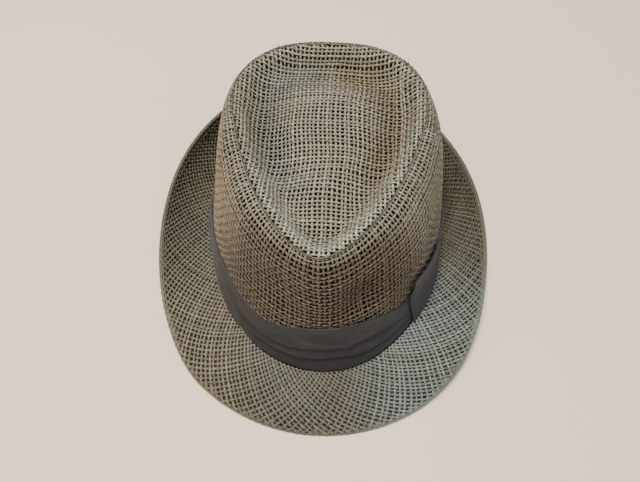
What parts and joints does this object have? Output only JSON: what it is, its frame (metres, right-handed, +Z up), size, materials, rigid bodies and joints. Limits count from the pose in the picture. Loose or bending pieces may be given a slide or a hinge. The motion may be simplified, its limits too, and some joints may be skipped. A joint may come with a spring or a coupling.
{
  "type": "trilby hat",
  "caption": "Short-brimmed woven straw trilby with a dented teardrop crown, a front pinch, a curled brim and a pleated hat band.",
  "frame": {"origin": "below the middle of the brim's outline, at the height of the crown's lower edge, on which the hat stands", "axes": "+Z up, crown up; the front of the hat is at -Y and the wearer's left at +X"},
  "size_m": [0.2342, 0.2652, 0.104],
  "materials": {
    "straw_cloth": "open plain weave of twisted paper straw, matt",
    "band_cloth": "plain woven poplin with a slight sheen",
    "sweatband_cloth": "matt cotton twill",
    "binding_tape": "matt bias tape",
    "interlining": "matt open mesh",
    "lining_cloth": "thin matt lining",
    "label_cloth": "woven satin, blank",
    "band_thread": "matt sewing thread",
    "thread": "matt sewing thread"
  },
  "bodies": {
    "hat": {"back_join_stitches": "thread", "back_join_tape": "binding_tape", "brim_edge_stitches": "thread", "brim_interlining": "interlining", "brim_under": "straw_cloth", "brim_upper": "straw_cloth", "crown_side": "straw_cloth", "crown_tip": "straw_cloth", "hat_band": "band_cloth", "hat_band_loop": "band_cloth", "hat_band_tacks": "band_thread", "head_seam_stitches": "thread", "ridge_stitches": "thread", "ridge_tape": "binding_tape", "side_lining": "lining_cloth", "size_label": "label_cloth", "size_label_stitches": "thread", "sweatband": "sweatband_cloth", "sweatband_join_stitches": "thread", "sweatband_stitches": "thread", "tip_lining": "lining_cloth"},
    "care_label": {"care_label": "label_cloth", "care_label_stitches": "thread"}
  },
  "joints": [
    {"name": "care_label_swing", "type": "hinge", "parent": "hat", "child": "care_label", "pos_m": [0, 0.10545, 0.031], "axis": [-1, 0, 0], "range_deg": [0, 70]}
  ]
}
